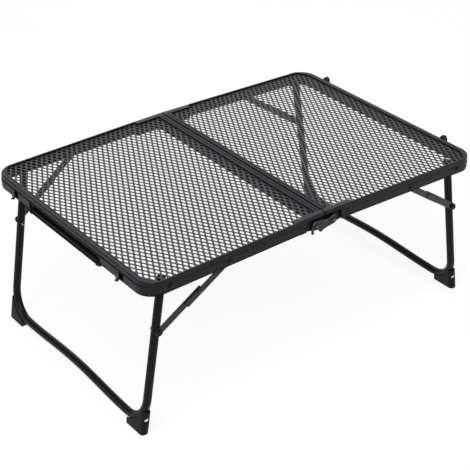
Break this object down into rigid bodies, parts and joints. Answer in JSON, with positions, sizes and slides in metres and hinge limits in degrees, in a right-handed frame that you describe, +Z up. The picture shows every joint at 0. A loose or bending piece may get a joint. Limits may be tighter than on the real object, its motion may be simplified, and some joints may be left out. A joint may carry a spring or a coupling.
{
  "type": "folding camp table",
  "caption": "Low folding camp table with a mesh top in two hinged halves, folding U legs with two-link braces, a carrying handle and swing latches.",
  "frame": {"origin": "on the floor plane, below the middle of the table's whole length and width", "axes": "+X along the table's length to the half with the latches, +Y to the back long side, +Z up"},
  "size_m": [0.6162, 0.4058, 0.2563],
  "materials": {
    "steel_frame": "satin black powder coat",
    "net": "satin black powder coat on expanded mesh",
    "links": "semi-gloss black paint",
    "plastic": "moulded, fine matte texture",
    "rivets": "bright zinc plate"
  },
  "bodies": {
    "left_half": {"left_frame": "steel_frame", "left_centre_rail": "steel_frame", "left_mesh": "net", "front_left_hinge_bracket": "links", "front_left_hinge_pin": "rivets", "front_left_leg_rivet": "rivets", "front_left_brace_rivet": "rivets", "back_left_hinge_bracket": "links", "back_left_hinge_pin": "rivets", "back_left_leg_rivet": "rivets", "back_left_brace_rivet": "rivets", "front_catch": "links", "back_catch": "links"},
    "left_leg": {"left_leg_tube": "steel_frame", "front_left_foot": "plastic", "front_left_foot_rivet": "rivets", "front_left_brace_bolt": "rivets", "front_left_leg_plug": "plastic", "back_left_foot": "plastic", "back_left_foot_rivet": "rivets", "back_left_brace_bolt": "rivets", "back_left_leg_plug": "plastic"},
    "right_half": {"right_frame": "steel_frame", "right_centre_rail": "steel_frame", "right_mesh": "net", "front_right_hinge_bracket": "links", "front_right_hinge_pin": "rivets", "front_right_leg_rivet": "rivets", "front_right_brace_rivet": "rivets", "back_right_hinge_bracket": "links", "back_right_hinge_pin": "rivets", "back_right_leg_rivet": "rivets", "back_right_brace_rivet": "rivets"},
    "right_leg": {"right_leg_tube": "steel_frame", "front_right_foot": "plastic", "front_right_foot_rivet": "rivets", "front_right_brace_bolt": "rivets", "front_right_leg_plug": "plastic", "back_right_foot": "plastic", "back_right_foot_rivet": "rivets", "back_right_brace_bolt": "rivets", "back_right_leg_plug": "plastic"},
    "hinge_links": {"front_hinge_link": "links", "back_hinge_link": "links"},
    "front_left_upper_link": {"front_left_upper_link": "links", "front_left_knee_rivet": "rivets"},
    "front_left_lower_link": {"front_left_lower_link": "links"},
    "back_left_upper_link": {"back_left_upper_link": "links", "back_left_knee_rivet": "rivets"},
    "back_left_lower_link": {"back_left_lower_link": "links"},
    "front_right_upper_link": {"front_right_upper_link": "links", "front_right_knee_rivet": "rivets"},
    "front_right_lower_link": {"front_right_lower_link": "links"},
    "back_right_upper_link": {"back_right_upper_link": "links", "back_right_knee_rivet": "rivets"},
    "back_right_lower_link": {"back_right_lower_link": "links"},
    "handle": {"handle": "plastic"},
    "front_latch": {"front_latch": "links"},
    "back_latch": {"back_latch": "links"}
  },
  "joints": [
    {"name": "left_fold", "type": "hinge", "parent": "left_half", "child": "hinge_links", "pos_m": [-0.01532, 0, 0.2389], "axis": [0, 1, 0], "range_deg": [0, 88.8]},
    {"name": "right_fold", "type": "hinge", "parent": "hinge_links", "child": "right_half", "pos_m": [0.01518, 0, 0.2389], "axis": [0, 1, 0], "range_deg": [0, 88.8]},
    {"name": "left_leg_fold", "type": "hinge", "parent": "left_half", "child": "left_leg", "pos_m": [-0.2631, 0, 0.23781], "axis": [0, -1, 0], "range_deg": [0, 99.4]},
    {"name": "front_left_upper_link_turn", "type": "hinge", "parent": "left_half", "child": "front_left_upper_link", "pos_m": [-0.1666, -0.1963, 0.23863], "axis": [0, -1, 0], "range_deg": [0, 146.23]},
    {"name": "front_left_lower_link_turn", "type": "hinge", "parent": "left_leg", "child": "front_left_lower_link", "pos_m": [-0.27512, -0.1863, 0.16277], "axis": [0, 1, 0], "range_deg": [0, 133.18]},
    {"name": "back_left_upper_link_turn", "type": "hinge", "parent": "left_half", "child": "back_left_upper_link", "pos_m": [-0.1666, 0.1963, 0.23863], "axis": [0, -1, 0], "range_deg": [0, 146.23]},
    {"name": "back_left_lower_link_turn", "type": "hinge", "parent": "left_leg", "child": "back_left_lower_link", "pos_m": [-0.27512, 0.1863, 0.16277], "axis": [0, 1, 0], "range_deg": [0, 133.18]},
    {"name": "right_leg_fold", "type": "hinge", "parent": "right_half", "child": "right_leg", "pos_m": [0.26296, 0, 0.23781], "axis": [0, 1, 0], "range_deg": [0, 99.4]},
    {"name": "front_right_upper_link_turn", "type": "hinge", "parent": "right_half", "child": "front_right_upper_link", "pos_m": [0.16646, -0.1963, 0.23863], "axis": [0, 1, 0], "range_deg": [0, 146.23]},
    {"name": "front_right_lower_link_turn", "type": "hinge", "parent": "right_leg", "child": "front_right_lower_link", "pos_m": [0.27498, -0.1863, 0.16277], "axis": [0, -1, 0], "range_deg": [0, 133.18]},
    {"name": "back_right_upper_link_turn", "type": "hinge", "parent": "right_half", "child": "back_right_upper_link", "pos_m": [0.16646, 0.1963, 0.23863], "axis": [0, 1, 0], "range_deg": [0, 146.23]},
    {"name": "back_right_lower_link_turn", "type": "hinge", "parent": "right_leg", "child": "back_right_lower_link", "pos_m": [0.27498, 0.1863, 0.16277], "axis": [0, -1, 0], "range_deg": [0, 133.18]},
    {"name": "handle_swing", "type": "hinge", "parent": "left_half", "child": "handle", "pos_m": [-0.29681, 0.0045, 0.23761], "axis": [0, 1, 0], "range_deg": [0, 90]},
    {"name": "front_latch_turn", "type": "hinge", "parent": "right_half", "child": "front_latch", "pos_m": [0.299, -0.129, 0.23926], "axis": [-0.9998, 0, 0.0209], "range_deg": [0, 90]},
    {"name": "back_latch_turn", "type": "hinge", "parent": "right_half", "child": "back_latch", "pos_m": [0.299, 0.147, 0.23926], "axis": [0.9998, 0, -0.0209], "range_deg": [0, 90]}
  ],
  "couplings": [
    {"joint": "front_left_upper_link_turn", "follows": "left_leg_fold", "ratio": 1.4711},
    {"joint": "front_left_lower_link_turn", "follows": "left_leg_fold", "ratio": 1.3398},
    {"joint": "back_left_upper_link_turn", "follows": "left_leg_fold", "ratio": 1.4711},
    {"joint": "back_left_lower_link_turn", "follows": "left_leg_fold", "ratio": 1.3398},
    {"joint": "front_right_upper_link_turn", "follows": "right_leg_fold", "ratio": 1.4711},
    {"joint": "front_right_lower_link_turn", "follows": "right_leg_fold", "ratio": 1.3398},
    {"joint": "back_right_upper_link_turn", "follows": "right_leg_fold", "ratio": 1.4711},
    {"joint": "back_right_lower_link_turn", "follows": "right_leg_fold", "ratio": 1.3398}
  ]
}
